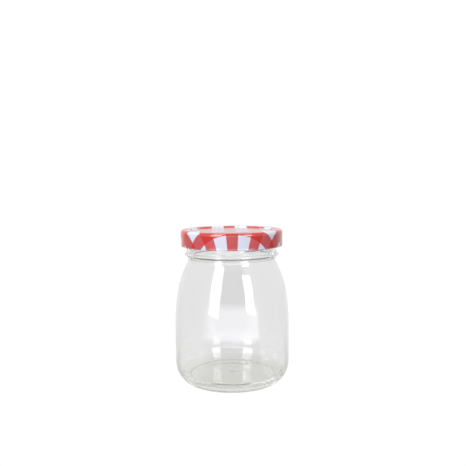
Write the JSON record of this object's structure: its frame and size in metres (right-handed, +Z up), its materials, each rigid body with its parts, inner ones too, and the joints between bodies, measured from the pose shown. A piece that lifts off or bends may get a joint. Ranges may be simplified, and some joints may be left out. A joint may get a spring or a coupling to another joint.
{
  "type": "screw-top glass jar",
  "caption": "Empty clear glass jar with rounded shoulders and a low metal screw lid printed in red and white gingham.",
  "frame": {"origin": "centre of the base circle, at the surface the jar stands on", "axes": "+Z up along the jar's axis, -Y towards the side that the picture shows, +X to the right in the picture"},
  "size_m": [0.0748, 0.0748, 0.0998],
  "materials": {
    "clear_glass": "clear, fire-polished, with a faint grey-green tint in the thick base",
    "printed_tinplate": "glossy varnished print of red and white gingham",
    "sealing_compound": "matt off-white"
  },
  "bodies": {
    "root": {"glass_jar": "clear_glass", "lid": "printed_tinplate", "seal": "sealing_compound"}
  },
  "joints": []
}
